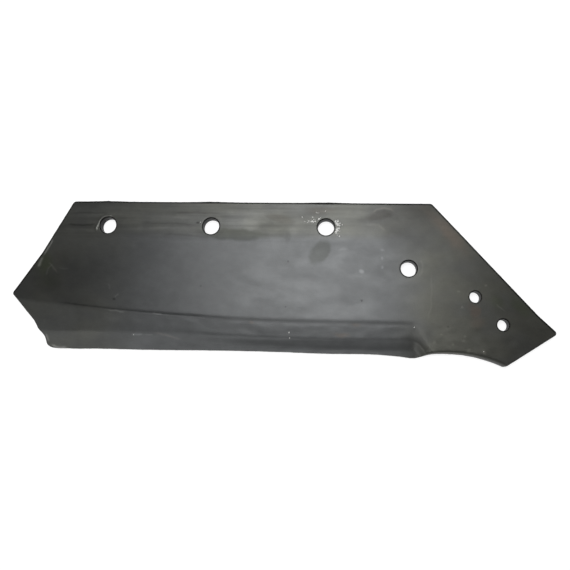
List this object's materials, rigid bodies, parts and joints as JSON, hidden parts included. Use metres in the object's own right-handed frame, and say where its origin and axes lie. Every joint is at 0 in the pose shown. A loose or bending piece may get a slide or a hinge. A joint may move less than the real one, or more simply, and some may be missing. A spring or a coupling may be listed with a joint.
{
  "type": "plough share",
  "caption": "Forged steel share for a mouldboard plough: pointed nose, drawn-out cutting edge, and punched holes for share and point bolts.",
  "frame": {"origin": "centre of the middle seat bolt hole, on the flat seat face the blade lies on", "axes": "+X along the row of seat bolts towards the nose, +Y towards the seat edge (the cutting edge is at -Y), +Z out of the forged face"},
  "size_m": [0.5828, 0.1723, 0.011],
  "materials": {
    "forged_steel": "satin dark mill scale over forged steel"
  },
  "bodies": {
    "root": {"share_blade": "forged_steel"}
  },
  "joints": []
}
